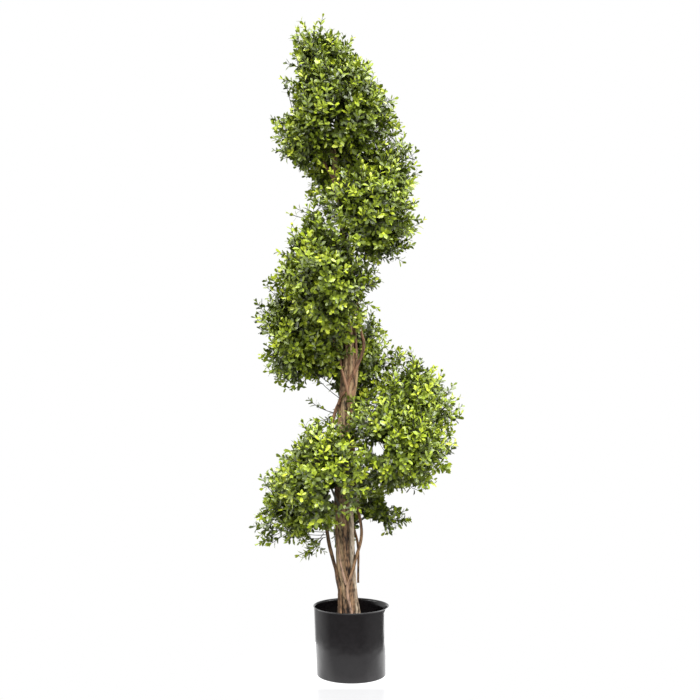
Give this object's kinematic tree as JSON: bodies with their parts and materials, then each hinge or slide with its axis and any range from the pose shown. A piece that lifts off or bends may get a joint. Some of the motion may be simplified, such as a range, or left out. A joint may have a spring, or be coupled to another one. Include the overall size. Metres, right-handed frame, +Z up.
{
  "type": "artificial spiral topiary in a pot",
  "caption": "Artificial spiral topiary: a ribbon of small plastic leaves winds up a crooked, vine-wrapped wooden stem set in mortar in a plain round black pot.",
  "frame": {"origin": "the middle of the pot's flat underside, where it stands on the floor", "axes": "+Z up the plant, +X to the right of a viewer in front of it and +Y away from that viewer; the ribbon starts low on +X, goes round by +Y and climbs anticlockwise seen from above"},
  "size_m": [0.445, 0.4383, 1.3988],
  "materials": {
    "pot_plastic": "satin",
    "mortar": "matte",
    "trunk_bark": "matte",
    "pale_wood": "matte",
    "vine_bark": "matte",
    "bough_wire": "satin",
    "leaves": "satin"
  },
  "bodies": {
    "root": {"pot": "pot_plastic", "mortar": "mortar", "trunk": "trunk_bark", "side_stem": "pale_wood", "vine_left": "vine_bark", "vine_front": "vine_bark", "vine_hanging": "vine_bark", "vine_upper": "vine_bark", "vine_right": "vine_bark", "vine_top": "vine_bark", "leaf_mass_01": "leaves", "leaf_mass_02": "leaves", "leaf_mass_03": "leaves", "leaf_mass_04": "leaves", "leaf_mass_05": "leaves", "leaf_mass_06": "leaves", "leaf_mass_07": "leaves", "leaf_mass_08": "leaves", "leaf_mass_09": "leaves", "leaf_mass_10": "leaves", "leaf_mass_11": "leaves", "leaf_mass_12": "leaves", "leaf_mass_13": "leaves", "leaf_mass_14": "leaves", "leaf_mass_15": "leaves", "leaf_mass_16": "leaves", "leaf_mass_17": "leaves", "leaf_mass_18": "leaves", "bough_01": "bough_wire", "bough_02": "bough_wire", "bough_03": "bough_wire", "bough_04": "bough_wire", "bough_05": "bough_wire", "bough_06": "bough_wire", "bough_07": "bough_wire", "bough_08": "bough_wire", "bough_09": "bough_wire", "bough_10": "bough_wire", "bough_11": "bough_wire", "bough_12": "bough_wire", "bough_13": "bough_wire", "bough_14": "bough_wire", "bough_15": "bough_wire", "bough_16": "bough_wire", "bough_17": "bough_wire", "bough_18": "bough_wire"}
  },
  "joints": []
}
